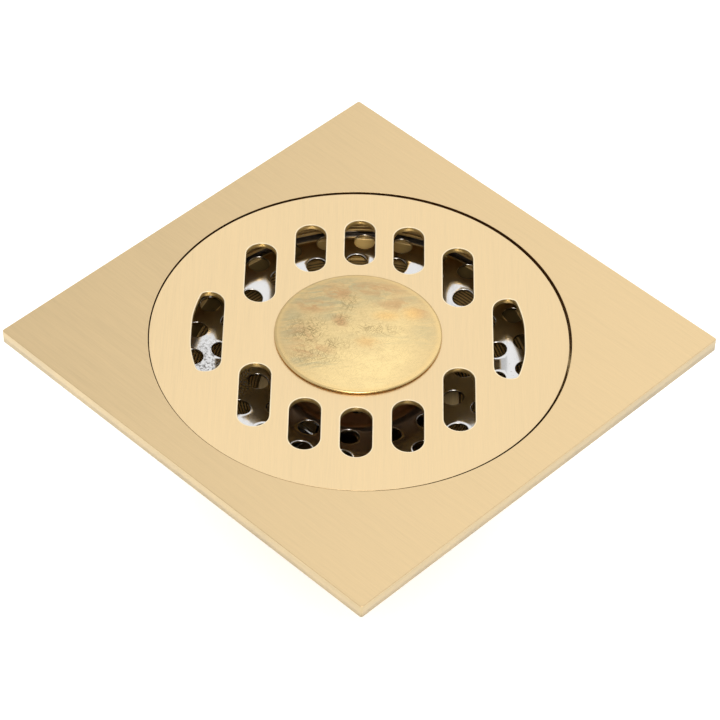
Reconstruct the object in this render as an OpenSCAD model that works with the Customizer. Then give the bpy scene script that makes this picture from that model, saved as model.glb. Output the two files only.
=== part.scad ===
// Square floor drain: face plate, round slotted lid with a hose plug, perforated hair
// strainer, drain bowl with a screwed-in outlet spigot, and a lift-out spring trap core.
// Millimetres. +Z is up. The origin is on the drain's axis, at the spigot's lower end.

/* [Face plate] */
// Length of the square plate's side
plate_side = 100; // [96:1:150]
// Thickness of the plate
plate_t = 3; // [2.5:0.1:4]
// Radius of the plate's corners in plan
plate_corner_r = 0.5; // [0.4:0.1:3]
// Bevel along the plate's top edges
plate_bevel = 0.3; // [0.2:0.05:0.5]

/* [Lid] */
// Radius of the round slotted lid
lid_r = 41.5; // [41:0.1:43]
// Gap all round between a centred lid and the plate
lid_gap = 0.5; // [0.45:0.05:0.7]
// How far the lid sits off the centre of its recess, across the slots
lid_shift = -0.4; // [-0.4:0.1:0.4]
// Thickness of the lid's slotted web
lid_web = 1.2; // [1:0.1:2]
// Direction of the slots, from the X axis towards the Y axis
lid_turn = 44; // [0:1:90]
// Width of a slot
slot_w = 6.2; // [5:0.1:7]
// Distance between neighbouring rows of slots
slot_pitch = 9.95; // [9:0.05:10.5]
// Radius of the circle that the slots' outer ends touch
slots_outer_r = 33.15; // [32:0.05:34]
// Radius of the circle that the slots' inner ends touch
slots_inner_r = 20; // [18:0.1:21]
// Half length of the two slots at the sides
side_slot_half = 11.15; // [10:0.05:12]

/* [Hose plug] */
// Radius of the plug's round cap
plug_r = 16.6; // [16:0.1:17.5]
// Height of the cap's edge above the lid
plug_rise = 0.65; // [0.5:0.05:1.2]
// Extra height of the cap at its crown
plug_crown = 0.25; // [0.1:0.05:0.4]
// Radius of the hose hole under the plug
hose_r = 14.2; // [13.5:0.1:14.5]

/* [Strainer] */
// Radius of the strainer's perforated floor
pan_r = 35.5; // [35:0.1:36]
// Depth of the floor's dish below its flat brim
pan_dish = 2.3; // [0.5:0.1:2.3]
// Radius of a strainer hole
pan_hole_r = 2.1; // [1.5:0.1:2.3]

/* [Bowl and outlet] */
// Outer radius of the bowl's collar
collar_r = 45; // [44:0.1:46]
// Outer radius of the outlet spigot
spigot_r = 21; // [20.5:0.1:21.5]
// Length of the drain below the face plate
body_depth = 44; // [44:1:80]

/* [Trap core] */
// Travel of the valve when it opens
valve_travel = 5; // [3:0.5:5]
// Outer radius of the core's flow tube
tube_r = 16.5; // [15:0.1:17]
// Turns of the valve spring
spring_turns = 6; // [4:1:8]

/* [Hidden] */
$fn = 96;
eps = 0.01;
bed_z = body_depth;
top_z = bed_z + plate_t;

// Heights of the seats, from the lid's ledge down to the spigot
recess_r = lid_r + lid_gap;
ledge_z = bed_z - 1.5;
skirt_t = 2;
lid_chamfer = 0.25;
slot_chamfer = 0.25;

// Strainer: sheet thickness, upturned rim and the well that it drops into
sheet_t = 0.5;
pan_edge_z = bed_z - 2.9;
rim_top_z = bed_z - 1.6;
rim_r = pan_r + sheet_t;
well_r = rim_r + 0.3;
seat_z = pan_edge_z - sheet_t - 0.1;
seat_r = 34.6;
// [radius, number of holes, angle of the first hole from the lid's slot direction]
hole_rings = [[33.2, 27, 89], [27.4, 21, 92], [21, 16, 265.2], [11.8, 8, 90]];
// The dish steepens towards its edge; it is flat under the knob
dish_steps = [5.8, 14.5, 18.3, 24.2, 28.8];
dish_power = 2.6;
knob_r = 3.6;
knob_neck_r = 2.4;
knob_h = 2;
knob_edge = 0.4;
shank_r = 1.5;

// Bowl: a sloping floor with turned grooves, a throat and a threaded boss
wall_t = 2.2;
floor_out_z = bed_z - 9;
floor_in_z = bed_z - 13;
thread_r = spigot_r - 0.5;
throat_r = thread_r + 0.1;
groove_n = 12;
groove_depth = 0.35;
groove_flank = 0.75; // share of a groove's width taken by its long flank
boss_r = 25;
boss_z = bed_z - 24.5;
boss_ease = 1; // bevel between the bowl's underside and the boss
collar_z = bed_z - 6;
// The collar's top sits in a shallow rabbet under the face plate
rabbet_t = 0.5;
rabbet_gap = 0.05;

// Outlet spigot: top end, shoulder and washer
spigot_bore_r = 19;
spigot_top_z = bed_z - 16;
washer_t = 0.6;
shoulder_t = 1.6;
shoulder_r = 24.5;
spigot_chamfer = 0.6;

// Hose collar and plug skirt
hose_collar_t = 1.6;
hose_collar_z = bed_z - 1.9;
plug_skirt_r = 13.6;
plug_skirt_t = 1.6;
plug_skirt_z = bed_z - 1.4;
plug_hollow = 0.6;
plug_edge = 0.4;
plug_edge_mid = 0.3 * plug_edge; // middle of the cap's rounded edge
crown_steps = 4;
oring_section = 0.9;
oring_z = bed_z + 0.3;
oring_r = hose_r - 0.1 - oring_section;

// Trap core
gasket_t = 0.8;
gasket_r_in = spigot_bore_r + 0.1;
flange_z = spigot_top_z + gasket_t;
flange_t = 1.2;
flange_r = thread_r - 0.3;
tube_wall = 1.5;
tube_end_z = bed_z - 33;
guide_z = bed_z - 24.5;
guide_t = 3;
guide_r = 4.5;
stem_r = 1.9;
stem_gap = 0.1;
stem_fit = 0.02;
spokes = 3;
spoke_w = 2.4;
handle_top_z = bed_z - 6.8;
handle_t = 1.2;
handle_w = 5;
handle_x = 17.8;
handle_foot = 2; // the strap's feet run past the rivets by this much
handle_leg_x = handle_x - 2.6;
handle_lean = 2.4; // the legs' outer faces lean inwards by this much
handle_lean_in = 3; // and their inner faces by this much
rivet_r = 1.4;
rivet_head = 0.7;
rivet_gap = 0.1;
shank_fit = 0.05;

// Valve
cap_r = 5;
cap_t = 1.2;
cap_bevel = 0.3;
cap_top_z = bed_z - 9.8;
stem_top_z = bed_z - 8.8;
seal_gap = 0.05;
seal_t = 1.2;
seal_r = tube_r + 0.2;
seal_r_in = tube_r - tube_wall - 1.6;
disc_r = 17;
disc_t = 1.4;
nut_flat_r = 3.2;
nut_t = 1.8;
stem_washer_t = 0.5;
stem_washer_r = nut_flat_r + 1;
stem_end_z = tube_end_z - seal_gap - seal_t - disc_t - stem_washer_t - nut_t - 0.7;

// Spring: wire and coil radii
wire_r = 0.35;
coil_r = 3.2;
coil_steps = 16;

brass = [0.87, 0.76, 0.57];
raw_brass = [0.80, 0.68, 0.42];
steel = [0.78, 0.78, 0.78];
rubber = [0.12, 0.12, 0.13];
silicone = [0.85, 0.85, 0.82];

// A tube from z0 up to z1
module ring(r_out, r_in, z0, z1) {
    translate([0, 0, z0])
        difference() {
            cylinder(r = r_out, h = z1 - z0);
            translate([0, 0, -1])
                cylinder(r = r_in, h = z1 - z0 + 2);
        }
}

// A disc from z0 up to z1 with a bevel round its top edge
module bevelled_disc(r, z0, z1, bevel) {
    translate([0, 0, z0])
        cylinder(r = r, h = z1 - z0 - bevel);
    translate([0, 0, z1 - bevel])
        cylinder(r1 = r, r2 = r - bevel, h = bevel);
}

// ---- Face plate ----

module plate_section() {
    half = plate_side / 2;
    polygon([
        [-half, bed_z], [half, bed_z],
        [half, top_z - plate_bevel], [half - plate_bevel, top_z],
        [plate_bevel - half, top_z], [-half, top_z - plate_bevel]
    ]);
}

module plate_bar() {
    rotate([90, 0, 0])
        translate([0, 0, -plate_side / 2])
            linear_extrude(plate_side)
                plate_section();
}

module plate_outline() {
    inner = plate_side / 2 - plate_corner_r;
    square([plate_side, 2 * inner], center = true);
    square([2 * inner, plate_side], center = true);
    for (x = [-inner, inner], y = [-inner, inner])
        translate([x, y])
            circle(r = plate_corner_r, $fn = 48);
}

module face_plate() {
    color(brass)
        difference() {
            intersection() {
                plate_bar();
                rotate([0, 0, 90])
                    plate_bar();
                linear_extrude(top_z)
                    plate_outline();
            }
            cylinder(r = recess_r, h = top_z + 1);
            cylinder(r = collar_r + rabbet_gap, h = bed_z + rabbet_t);
            translate([0, 0, top_z - plate_bevel / 2])
                cylinder(r1 = recess_r, r2 = recess_r + plate_bevel / 2 + eps, h = plate_bevel / 2 + eps);
        }
}

// ---- Bowl and outlet ----

// Height of the bowl's sloping floor at radius r
function floor_z(r) =
    floor_in_z + (floor_out_z - floor_in_z) * (r - throat_r) / (seat_r - throat_r);

// Saw-tooth outline of the turned grooves, from the throat outwards
groove_step = (seat_r - throat_r) / groove_n;
groove_points = [
    for (i = [0:groove_n - 1])
        for (side = [0, 1])
            let (r = throat_r + (i + side * groove_flank) * groove_step)
                [r, floor_z(r) - side * groove_depth]
];

module drain_bowl() {
    color(brass)
        rotate_extrude()
            polygon(concat(
                [[throat_r, boss_z]],
                groove_points,
                [
                    [seat_r, floor_out_z],
                    [seat_r, seat_z], [well_r, seat_z],
                    [well_r, ledge_z], [recess_r, ledge_z],
                    [recess_r, bed_z + rabbet_t], [collar_r, bed_z + rabbet_t],
                    [collar_r, collar_z],
                    [seat_r + wall_t, floor_out_z - wall_t],
                    [boss_r + boss_ease, floor_z(boss_r) - wall_t - boss_ease],
                    [boss_r, floor_z(boss_r) - wall_t - 2 * boss_ease],
                    [boss_r, boss_z]
                ]
            ));
}

module spigot_washer() {
    color(rubber)
        ring(shoulder_r, throat_r, boss_z - washer_t, boss_z);
}

module outlet_spigot() {
    shoulder_z = boss_z - washer_t;
    color(brass)
        rotate_extrude()
            polygon([
                [spigot_bore_r, spigot_top_z], [spigot_bore_r, spigot_chamfer],
                [spigot_bore_r + spigot_chamfer, 0], [spigot_r - spigot_chamfer, 0],
                [spigot_r, spigot_chamfer],
                [spigot_r, shoulder_z - shoulder_t], [shoulder_r, shoulder_z - shoulder_t],
                [shoulder_r, shoulder_z], [thread_r, shoulder_z],
                [thread_r, spigot_top_z]
            ]);
}

// ---- Lid ----

// Turns the lid's pieces to their place in the recess
module on_lid() {
    rotate([0, 0, lid_turn - 90])
        translate([lid_shift, 0, 0])
            children();
}

// A slot along Y between end centres y0 and y1, cut through the web and bevelled on top
module slot_cut(x, y0, y1) {
    r = slot_w / 2;
    bevel_z = top_z - slot_chamfer;
    for (y = [y0, y1])
        translate([x, y, 0]) {
            cylinder(r = r, h = top_z + 1);
            translate([0, 0, bevel_z])
                cylinder(r1 = r, r2 = r + slot_chamfer + eps, h = slot_chamfer + eps);
        }
    translate([x - r, y0, 0])
        cube([slot_w, y1 - y0, top_z + 1]);
    translate([x, y1, bevel_z])
        rotate([90, 0, 0])
            linear_extrude(y1 - y0)
                polygon([
                    [-r, 0], [r, 0],
                    [r + slot_chamfer + eps, slot_chamfer + eps],
                    [-r - slot_chamfer - eps, slot_chamfer + eps]
                ]);
}

// Distance from the X axis at which a slot's end centre at x lies on the circle of radius r
function end_centre(r, x) = sqrt(r * r - x * x);

module slots() {
    r = slot_w / 2;
    for (column = [-2:2], side = [-1, 1]) {
        x = column * slot_pitch;
        ends = side * [end_centre(slots_inner_r + r, x), end_centre(slots_outer_r - r, x)];
        slot_cut(x, min(ends), max(ends));
    }
    intersection() {
        for (x = [-3, 3] * slot_pitch)
            slot_cut(x, r - side_slot_half, side_slot_half - r);
        union() {
            cylinder(r = slots_outer_r, h = top_z + 1);
            translate([0, 0, top_z - slot_chamfer])
                cylinder(r1 = slots_outer_r, r2 = slots_outer_r + slot_chamfer + eps, h = slot_chamfer + eps);
        }
    }
}

module grate_lid() {
    color(brass)
        on_lid()
            difference() {
                union() {
                    bevelled_disc(lid_r, top_z - lid_web, top_z, lid_chamfer);
                    ring(lid_r, lid_r - skirt_t, ledge_z, top_z - lid_web);
                }
                cylinder(r = hose_r, h = top_z + 1);
                slots();
            }
}

module hose_collar() {
    color(brass)
        on_lid()
            ring(hose_r + hose_collar_t, hose_r, hose_collar_z, top_z - lid_web);
}

// Height of the cap's crowned top at radius r
function crown_z(r) = top_z + plug_rise + plug_crown * (1 - pow(r / plug_r, 2));

module hose_plug() {
    rim = plug_r - plug_edge;
    color(raw_brass)
        on_lid()
            rotate_extrude()
                difference() {
                    polygon(concat(
                        [for (i = [0:crown_steps]) [rim * i / crown_steps, crown_z(rim * i / crown_steps)]],
                        [
                            [plug_r - plug_edge_mid, crown_z(plug_r) - plug_edge_mid],
                            [plug_r, crown_z(plug_r) - plug_edge], [plug_r, top_z],
                            [plug_skirt_r, top_z], [plug_skirt_r, plug_skirt_z],
                            [plug_skirt_r - plug_skirt_t, plug_skirt_z],
                            [plug_skirt_r - plug_skirt_t, top_z - plug_hollow], [0, top_z - plug_hollow]
                        ]
                    ));
                    oring_round();
                }
}

// The O-ring's round section, also cut out of the plug as its groove
module oring_round() {
    translate([oring_r, oring_z])
        circle(r = oring_section, $fn = 32);
}

module plug_oring() {
    color(rubber)
        on_lid()
            rotate_extrude()
                oring_round();
}

// ---- Strainer ----

// Height of the floor's top face at radius r, from the flat centre out to the flat brim
function dish_top(r) =
    let (at = min(max(r, dish_steps[0]) / dish_steps[len(dish_steps) - 1], 1))
        pan_edge_z - pan_dish * (1 - pow(at, dish_power));

module pan_shell() {
    floor_r = concat([0], dish_steps, [pan_r]);
    steps = len(floor_r) - 1;
    rotate_extrude()
        polygon(concat(
            [for (i = [0:steps]) [floor_r[i], dish_top(floor_r[i])]],
            [[pan_r, rim_top_z], [rim_r, rim_top_z], [rim_r, pan_edge_z - sheet_t]],
            [for (i = [steps:-1:0]) [floor_r[i], dish_top(floor_r[i]) - sheet_t]]
        ));
}

module strainer_pan() {
    color(steel)
        rotate([0, 0, lid_turn - 90])
            difference() {
                pan_shell();
                for (row = hole_rings, i = [0:row[1] - 1])
                    rotate([0, 0, row[2] + i * 360 / row[1]])
                        translate([row[0], 0, pan_edge_z - pan_dish - 2])
                            cylinder(r = pan_hole_r, h = pan_dish + 3, $fn = 24);
                translate([0, 0, pan_edge_z - pan_dish - 2])
                    cylinder(r = shank_r, h = pan_dish + 3, $fn = 24);
            }
}

// The knob's underside sits on the floor round the shank of the rivet
module strainer_knob() {
    knob_z = dish_top(knob_neck_r);
    color(steel)
        rotate_extrude()
            polygon([
                [0, knob_z], [knob_neck_r, knob_z], [knob_neck_r, knob_z + knob_h / 2],
                [knob_r, knob_z + knob_h / 2 + knob_edge], [knob_r, knob_z + knob_h - knob_edge],
                [knob_r - knob_edge, knob_z + knob_h], [0, knob_z + knob_h]
            ]);
}

module strainer_rivet() {
    head_z = dish_top(knob_neck_r) - sheet_t;
    color(steel) {
        translate([0, 0, head_z - knob_edge])
            cylinder(r1 = shank_r, r2 = knob_neck_r, h = knob_edge);
        translate([0, 0, head_z])
            cylinder(r = shank_r - shank_fit, h = sheet_t);
    }
}

// ---- Trap core ----

module core_gasket() {
    color(rubber)
        ring(flange_r, gasket_r_in, spigot_top_z, flange_z);
}

module core_body() {
    bore_r = tube_r - tube_wall;
    color(raw_brass)
        difference() {
            union() {
                ring(flange_r, bore_r, flange_z, flange_z + flange_t);
                ring(tube_r, bore_r, tube_end_z, flange_z + eps);
                translate([0, 0, guide_z])
                    cylinder(r = guide_r, h = guide_t);
                for (i = [0:spokes - 1])
                    rotate([0, 0, i * 360 / spokes])
                        translate([0, -spoke_w / 2, guide_z])
                            cube([bore_r + tube_wall / 2, spoke_w, guide_t]);
            }
            translate([0, 0, guide_z - 1])
                cylinder(r = stem_r + stem_gap, h = guide_t + 2);
            for (x = [-handle_x, handle_x])
                translate([x, 0, flange_z - 1])
                    cylinder(r = rivet_r, h = flange_t + 2);
        }
}

module core_handle() {
    foot_z = flange_z + flange_t;
    foot_x = handle_x + handle_foot;
    grip_x = handle_leg_x - handle_lean;
    grip_in_x = handle_leg_x - handle_lean_in;
    color(steel)
        difference() {
            rotate([90, 0, 0])
                translate([0, 0, -handle_w / 2])
                    linear_extrude(handle_w)
                        polygon([
                            [-foot_x, foot_z], [handle_t - handle_leg_x, foot_z],
                            [-grip_in_x, handle_top_z - handle_t], [grip_in_x, handle_top_z - handle_t],
                            [handle_leg_x - handle_t, foot_z], [foot_x, foot_z],
                            [foot_x, foot_z + handle_t], [handle_leg_x, foot_z + handle_t],
                            [grip_x, handle_top_z], [-grip_x, handle_top_z],
                            [-handle_leg_x, foot_z + handle_t], [-foot_x, foot_z + handle_t]
                        ]);
            for (x = [-handle_x, handle_x])
                translate([x, 0, foot_z - 1])
                    cylinder(r = rivet_r, h = handle_t + 2);
        }
}

module handle_rivets() {
    head_z = flange_z + flange_t + handle_t;
    color(steel)
        for (x = [-handle_x, handle_x])
            translate([x, 0, 0]) {
                translate([0, 0, flange_z + rivet_gap])
                    cylinder(r = rivet_r - shank_fit, h = head_z - flange_z);
                translate([0, 0, head_z])
                    cylinder(r1 = rivet_r + rivet_head, r2 = rivet_r, h = rivet_head);
            }
}

// ---- Valve ----

seal_top_z = tube_end_z - seal_gap;
disc_top_z = seal_top_z - seal_t;
washer_top_z = disc_top_z - disc_t;

module valve_stem() {
    color(steel)
        translate([0, 0, stem_end_z])
            cylinder(r = stem_r, h = stem_top_z - stem_end_z);
}

module spring_cap() {
    color(steel)
        difference() {
            bevelled_disc(cap_r, cap_top_z - cap_t, cap_top_z, cap_bevel);
            translate([0, 0, cap_top_z - cap_t - 1])
                cylinder(r = stem_r + stem_fit, h = cap_t + 2);
        }
}

// The spring is one swept polyhedron with its wire centre on a helix
spring_z0 = guide_z + guide_t + wire_r;
spring_z1 = cap_top_z - cap_t - wire_r;
spring_rings = spring_turns * coil_steps;
wire_sides = 8;

function coil_point(k, j) =
    let (
        turn = 360 * k / coil_steps,
        side = 360 * j / wire_sides,
        r = coil_r + wire_r * cos(side)
    )
        [r * cos(turn), r * sin(turn),
         spring_z0 + (spring_z1 - spring_z0) * k / spring_rings + wire_r * sin(side)];

module valve_spring() {
    points = [for (k = [0:spring_rings], j = [0:wire_sides - 1]) coil_point(k, j)];
    last = spring_rings * wire_sides;
    sides = [
        for (k = [0:spring_rings - 1], j = [0:wire_sides - 1])
            let (a = k * wire_sides, b = (j + 1) % wire_sides)
                [a + j, a + b, a + wire_sides + b, a + wire_sides + j]
    ];
    ends = [
        [for (j = [wire_sides - 1:-1:0]) j],
        [for (j = [0:wire_sides - 1]) last + j]
    ];
    color(steel)
        polyhedron(points = points, faces = concat(sides, ends), convexity = 8);
}

module valve_seal() {
    color(silicone)
        ring(seal_r, seal_r_in, disc_top_z, seal_top_z);
}

module valve_disc() {
    color(raw_brass)
        difference() {
            translate([0, 0, disc_top_z - disc_t])
                cylinder(r = disc_r, h = disc_t);
            translate([0, 0, disc_top_z - disc_t - 1])
                cylinder(r = stem_r + stem_fit, h = disc_t + 2);
        }
}

module stem_washer() {
    color(steel)
        ring(stem_washer_r, stem_r + stem_fit, washer_top_z - stem_washer_t, washer_top_z);
}

module stem_nut() {
    nut_z = washer_top_z - stem_washer_t - nut_t;
    color(steel)
        translate([0, 0, nut_z])
            difference() {
                cylinder(r = nut_flat_r / cos(30), h = nut_t, $fn = 6);
                translate([0, 0, -1])
                    cylinder(r = stem_r + stem_fit, h = nut_t + 2);
            }
}

face_plate();
drain_bowl();
spigot_washer();
outlet_spigot();
grate_lid();
hose_collar();
hose_plug();
plug_oring();
strainer_pan();
strainer_knob();
strainer_rivet();
core_gasket();
core_body();
core_handle();
handle_rivets();
valve_stem();
spring_cap();
valve_spring();
valve_disc();
valve_seal();
stem_washer();
stem_nut();
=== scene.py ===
"""Square brass floor drain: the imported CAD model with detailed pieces, materials, light and camera."""

from math import atan2, cos, hypot, pi, radians, sin, sqrt, tan

import bmesh
import bpy
from mathutils import Matrix, Vector
from mathutils.geometry import tessellate_polygon


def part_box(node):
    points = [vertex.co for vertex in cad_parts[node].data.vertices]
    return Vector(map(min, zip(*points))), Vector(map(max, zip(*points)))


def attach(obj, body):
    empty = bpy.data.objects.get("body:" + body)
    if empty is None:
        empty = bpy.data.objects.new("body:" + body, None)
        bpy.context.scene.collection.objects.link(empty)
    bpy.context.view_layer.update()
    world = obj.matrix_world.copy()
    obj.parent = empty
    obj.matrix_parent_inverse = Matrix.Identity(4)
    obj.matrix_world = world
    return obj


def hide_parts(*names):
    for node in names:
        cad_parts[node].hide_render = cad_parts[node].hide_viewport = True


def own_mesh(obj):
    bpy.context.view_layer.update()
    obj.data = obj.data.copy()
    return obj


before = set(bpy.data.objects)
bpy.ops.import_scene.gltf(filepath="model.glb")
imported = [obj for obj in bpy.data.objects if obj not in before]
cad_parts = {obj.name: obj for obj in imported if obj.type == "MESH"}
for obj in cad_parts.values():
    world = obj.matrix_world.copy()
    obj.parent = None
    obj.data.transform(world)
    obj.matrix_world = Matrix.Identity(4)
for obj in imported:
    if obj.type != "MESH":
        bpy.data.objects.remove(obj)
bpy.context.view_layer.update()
scene = bpy.context.scene

MM = 0.001
BED = 44.0  # the face plate's underside, in mm above the spigot's end
TOP = 47.0  # the face plate's top
LID_TURN = radians(44)  # direction of the slots
LID_SHIFT = -0.4  # the lid sits this far off centre, across the slots
EDGE_SHIFT = (-0.16, -0.30)  # and its outer edge this far, across and along them
LID_R = 41.5
RECESS_R = 42.0
SEAM_R = 41.88  # the recess as it shows round the lid
LID_WEB = 1.2  # thickness of the slotted web
SLOT_W = 6.2
SLOT_PITCH = 9.95
SLOTS_OUTER_R = 33.15
SLOTS_INNER_R = 20.0
SIDE_SLOT_HALF = 11.15
HOSE_R = 14.2  # hose hole under the plug
LEDGE = BED - 1.5  # the lid's skirt stands on this ledge
BRIM = BED - 2.9  # the strainer's flat brim
SHEET = 0.5  # the strainer's thickness
PAN_R = 35.5  # inner face of the strainer's upturned wall
HOLE_R = 2.1
THROAT_R = 20.6  # the bowl's outlet
SEAT_R = 34.6  # the bowl's wall under the strainer
RIDGES = 23  # turned ridges between them
RIDGES_FROM = THROAT_R + 0.15
RIDGE_STEP = (SEAT_R - THROAT_R - 0.3) / RIDGES


# ---- Small helpers ----


def rotated(x, y, a):
    return x * cos(a) - y * sin(a), x * sin(a) + y * cos(a)


def polar(r, a):
    return r * cos(a), r * sin(a)


def turned(x, y):
    """A point of a plan whose y axis runs along the slots, in the row frame."""
    return rotated(x, y, LID_TURN - pi / 2)


def on_lid(x, y):
    """The same, shifted with the lid."""
    return turned(x + LID_SHIFT, y)


def lid_edge(x, y):
    """The lid's outer edge: the seam round it is open on the far right and closed on the near left."""
    return turned(x + EDGE_SHIFT[0], y + EDGE_SHIFT[1])


def straight(x, y):
    return x, y


def build(name, verts, faces, materials, slots=None, flat=()):
    """A mesh object from millimetre points, smooth but for the faces numbered in flat."""
    mesh = bpy.data.meshes.new(name)
    mesh.from_pydata([Vector(v) * MM for v in verts], [], faces)
    for m in materials:
        mesh.materials.append(m)
    flat = set(flat)
    for i, p in enumerate(mesh.polygons):
        p.use_smooth = i not in flat
        if slots:
            p.material_index = slots[i]
    bm = bmesh.new()
    bm.from_mesh(mesh)
    bmesh.ops.recalc_face_normals(bm, faces=bm.faces)
    bm.to_mesh(mesh)
    bm.free()
    obj = bpy.data.objects.new(name, mesh)
    scene.collection.objects.link(obj)
    return obj


def piece(obj, body, slot, *nodes):
    """Puts a finished piece on its body in place of its CAD nodes."""
    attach(obj, body)
    if nodes:
        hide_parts(*nodes)
    return obj


def crisp(obj, angle=35):
    """Marks edges above the angle as sharp, so that turned corners stay crisp."""
    bm = bmesh.new()
    bm.from_mesh(obj.data)
    for e in bm.edges:
        if len(e.link_faces) == 2 and e.calc_face_angle(0) > radians(angle):
            e.smooth = False
    bm.to_mesh(obj.data)
    bm.free()
    return obj


def bend(p0, p, p1, t):
    """A point of the curve that rounds the corner p between p0 and p1."""
    return tuple(p0 * (1 - t) ** 2 + p * 2 * t * (1 - t) + p1 * t**2)


def rounded(outline, radius, steps=4):
    """A closed outline of (r, z) or (r, z, radius) points with its corners rounded."""
    out = []
    n = len(outline)
    for i, point in enumerate(outline):
        p = Vector(point[:2])
        rad = point[2] if len(point) > 2 else radius
        if rad <= 0 or p.x <= 1e-9:
            out.append(tuple(p))
            continue
        a = Vector(outline[i - 1][:2]) - p
        b = Vector(outline[(i + 1) % n][:2]) - p
        room = 0.45 * min(a.length, b.length)
        a.normalize()
        b.normalize()
        half = a.angle(b) / 2
        if half > radians(87):  # nearly straight
            out.append(tuple(p))
            continue
        back = min(rad / tan(half), room)
        p0, p1 = p + a * back, p + b * back
        out += [bend(p0, p, p1, k / steps) for k in range(steps + 1)]
    return out


def spin(name, outline, materials, segments=160, place=straight, slots=None, shape=None):
    """Turns a closed (r, z) outline round the Z axis. Two points with r = 0 close it on the axis.
    shape(r, z, angle) may return another (r, z), for knurls, threads and flats."""
    verts, rings = [], []
    for r, z in outline:
        count = segments if r > 1e-9 else 1
        ring = []
        for k in range(count):
            a = 2 * pi * k / segments
            rr, zz = shape(r, z, a) if shape else (r, z)
            x, y = place(*polar(rr, a))
            ring.append(len(verts))
            verts.append((x, y, zz))
        rings.append(ring)
    faces, index = [], []
    for i, a in enumerate(rings):
        b = rings[(i + 1) % len(rings)]
        if len(a) == 1 and len(b) == 1:
            continue
        for k in range(segments):
            k2 = (k + 1) % segments
            if len(a) == 1:
                faces.append((a[0], b[k], b[k2]))
            elif len(b) == 1:
                faces.append((a[k], b[0], a[k2]))
            else:
                faces.append((a[k], b[k], b[k2], a[k2]))
            index.append(slots[i] if slots else 0)
    materials = materials if isinstance(materials, list) else [materials]
    return build(name, verts, faces, materials, index)


def node_size(node):
    """A round node's outer radius, lowest and highest point in mm."""
    low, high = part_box(node)
    return (high.x - low.x) / 2 / MM, low.z / MM, high.z / MM


def washer(name, node, body, slot, material, r_in, edge, place=straight, segments=128):
    """A flat ring in place of a round CAD node, with rounded edges."""
    r, z0, z1 = node_size(node)
    outline = rounded([(r_in, z0), (r, z0), (r, z1), (r_in, z1)], edge)
    return piece(crisp(spin(name, outline, material, segments, place)), body, slot, node)


def loop_normals(loop):
    """Unit normals in plan, pointing left of the loop's direction."""
    out = []
    n = len(loop)
    for i in range(n):
        ax, ay = loop[i - 1]
        bx, by = loop[(i + 1) % n]
        dx, dy = bx - ax, by - ay
        s = hypot(dx, dy) or 1
        out.append((-dy / s, dx / s))
    return out


def slab(name, outer, holes, z0, z1, bevels, materials, highlight_bands=()):
    """A flat plate with holes, whose top edges are rounded. outer and holes are anticlockwise loops.
    bevels are the outer edge's and the holes'.
    Materials: top, outer side, underside, top edges with a painted highlight, hole walls. worn holds the
    width of a painted highlight band per hole."""
    verts, faces, slots, flat = [], [], [], set()
    top_loops, bottom_loops = [], []
    steps = 5
    for which, loop in enumerate([outer] + holes):
        sign = 1 if which == 0 else -1  # bevels go into the metal
        bevel = bevels[min(which, 1)]
        normals = loop_normals(loop)
        profile = [(0.1, z0), (0.0, z0 + 0.1)]
        for k in range(steps + 1):
            t = pi / 2 * k / steps
            profile.append((bevel * (1 - cos(t)), z1 - bevel + bevel * sin(t)))
        # a flat band of painted highlight along the hole's top edge; its rounded edge then takes the
        # highlight too
        band = highlight_bands[which - 1] if which > 0 and highlight_bands else 0
        if band:
            profile.append((bevel + band, z1))
        rows = []
        for inset, z in profile:
            row = []
            for (x, y), (nx, ny) in zip(loop, normals):
                row.append(len(verts))
                verts.append((x + nx * inset * sign, y + ny * inset * sign, z))
            rows.append(row)
        n = len(loop)
        for level, (a, b) in enumerate(zip(rows, rows[1:])):
            for k in range(n):
                k2 = (k + 1) % n
                faces.append((a[k], a[k2], b[k2], b[k]) if sign > 0 else (a[k], b[k], b[k2], a[k2]))
                if level >= 2:
                    slots.append(3 if band else 0)
                else:
                    slots.append(1 if which == 0 else 4)
        bottom_loops.append(rows[0])
        top_loops.append(rows[-1])
    for loops, number, flip in ((top_loops, 0, False), (bottom_loops, 2, True)):
        order = [i for row in loops for i in row]
        for tri in tessellate_polygon([[Vector(verts[i]) for i in row] for row in loops]):
            face = [order[i] for i in tri]
            flat.add(len(faces))
            faces.append(tuple(face[::-1] if flip else face))
            slots.append(number)
    return build(name, verts, faces, materials, slots, flat)


def circle(r, n, place=straight):
    return [place(*polar(r, 2 * pi * k / n)) for k in range(n)]


def rectangle(half_x, half_y, r, n):
    """Anticlockwise rectangle with rounded corners."""
    pts = []
    for cx, cy, a0 in ((1, 1, 0), (-1, 1, 90), (-1, -1, 180), (1, -1, 270)):
        for k in range(n + 1):
            x, y = polar(r, radians(a0 + 90 * k / n))
            pts.append((cx * (half_x - r) + x, cy * (half_y - r) + y))
    return pts


def threaded(r, z, a, pitch, depth, z0=0.0):
    """A point of a helical thread cut into a cylinder of radius r."""
    turn = ((z - z0) / pitch - a / (2 * pi)) % 1
    return r - depth * abs(2 * turn - 1), z


# ---- Materials ----


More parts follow.
